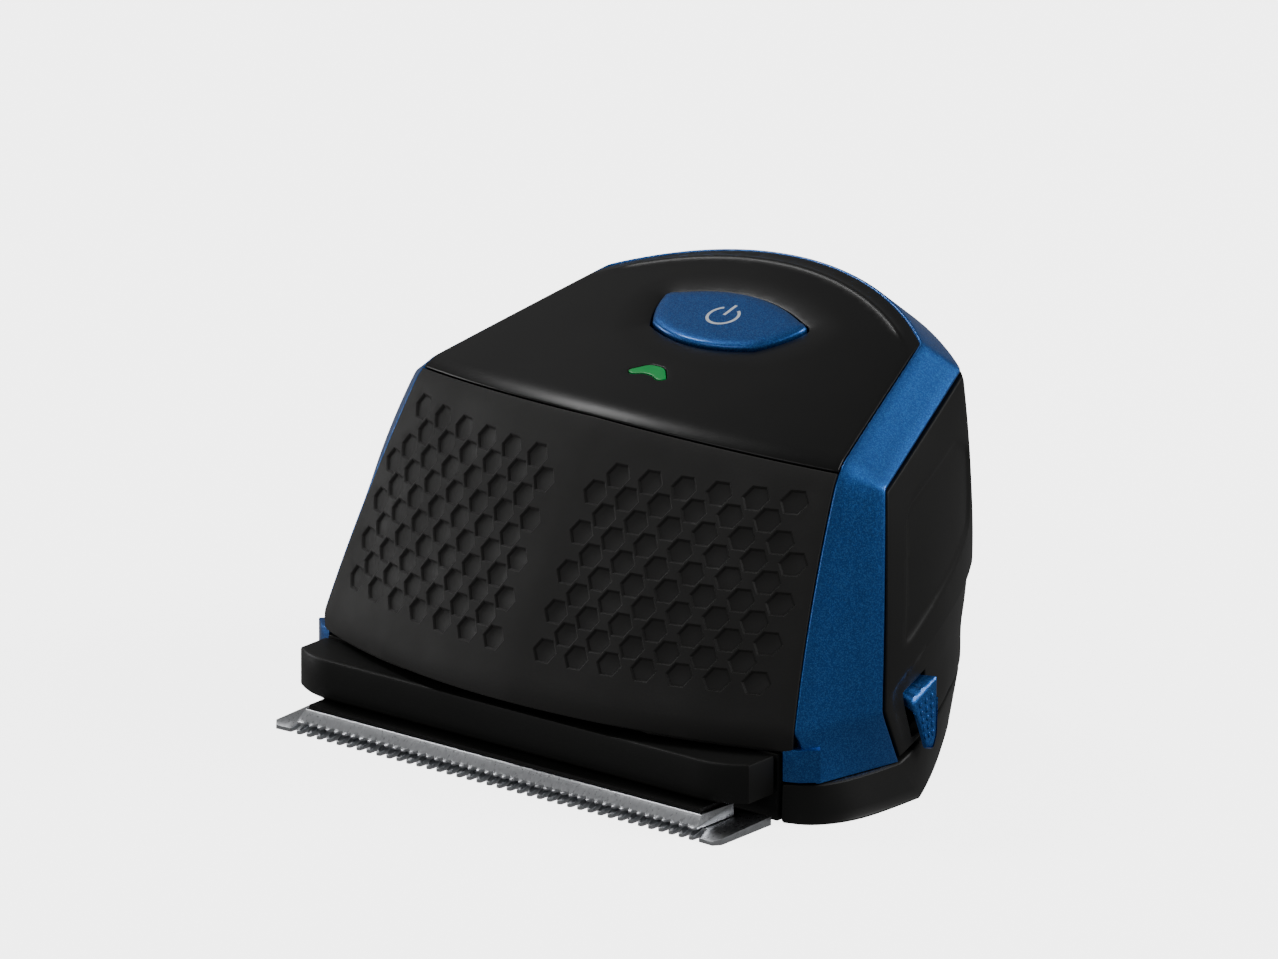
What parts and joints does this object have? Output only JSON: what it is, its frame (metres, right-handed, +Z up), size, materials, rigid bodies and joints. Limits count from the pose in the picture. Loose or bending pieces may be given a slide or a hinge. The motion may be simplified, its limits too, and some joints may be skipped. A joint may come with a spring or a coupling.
{
  "type": "cordless hair clipper",
  "caption": "Palm-held cordless hair clipper with a wide straight blade head, dimpled front grip, metallic trim frame, top button and side slider.",
  "frame": {"origin": "middle of the bounding box's underside, on the flat face the clipper stands on", "axes": "+X to the right along the blades, +Y from the blades to the back, +Z up; the body's plane of symmetry is X = 0"},
  "size_m": [0.093, 0.071, 0.0569],
  "materials": {
    "black_plastic": "fine matte moulded black plastic",
    "gloss_black": "smooth black plastic with a satin gloss",
    "soft_grip": "soft-touch black grip coating with hexagonal dimples",
    "blue_lacquer": "metallic blue lacquer over moulded plastic",
    "blade_steel": "ground and polished blade steel",
    "dark_plastic": "plain dark moulded plastic of the inner parts",
    "green_lens": "clear green lens plastic",
    "white_lens": "milky white lens resin",
    "contact_copper": "bright sprung copper strip",
    "board_laminate": "green solder mask over laminate",
    "cell_wrap": "shrink wrap over the cell's can",
    "motor_steel": "plated steel of the motor and screws"
  },
  "bodies": {
    "body": {"base_housing": "black_plastic", "rear_housing": "black_plastic", "trim_frame": "blue_lacquer", "front_grip": "soft_grip", "top_cover": "gloss_black", "charge_lamp_window": "green_lens", "blade_head": "black_plastic", "stationary_blade": "blade_steel", "motor_can": "motor_steel", "motor_end_cap": "dark_plastic", "chassis": "dark_plastic", "battery_cell": "cell_wrap", "cell_contact_left": "contact_copper", "cell_contact_right": "contact_copper", "circuit_board": "board_laminate", "switch_body": "dark_plastic", "lamp_diode": "white_lens", "charging_socket": "dark_plastic", "base_screw_1": "motor_steel", "base_screw_2": "motor_steel", "base_screw_3": "motor_steel", "base_screw_4": "motor_steel", "board_screw_1": "motor_steel", "board_screw_2": "motor_steel", "board_screw_3": "motor_steel", "board_screw_4": "motor_steel", "blade_screw_1": "motor_steel", "blade_screw_2": "motor_steel"},
    "power_button": {"power_button": "blue_lacquer", "switch_plunger": "dark_plastic"},
    "cutter": {"moving_blade": "blade_steel", "cutter_carrier": "dark_plastic"},
    "eccentric": {"eccentric_shaft": "motor_steel"},
    "side_slider": {"side_slider": "blue_lacquer"}
  },
  "joints": [
    {"name": "button_press", "type": "slide", "parent": "body", "child": "power_button", "axis": [0, 0.2334, -0.9724], "range_m": [0, 0.0006], "stiffness_N_per_m": 1500, "springref_m": -0.0004},
    {"name": "cutter_stroke", "type": "slide", "parent": "body", "child": "cutter", "axis": [1, 0, 0], "range_m": [-0.0011, 0.0011]},
    {"name": "motor_spin", "type": "hinge", "parent": "body", "child": "eccentric", "pos_m": [0, -0.02504, 0.0072], "axis": [0, 0.9397, 0.342], "continuous": true},
    {"name": "slider_release", "type": "slide", "parent": "body", "child": "side_slider", "axis": [0, 0, -1], "range_m": [0, 0.0025], "stiffness_N_per_m": 600, "springref_m": -0.0008}
  ]
}
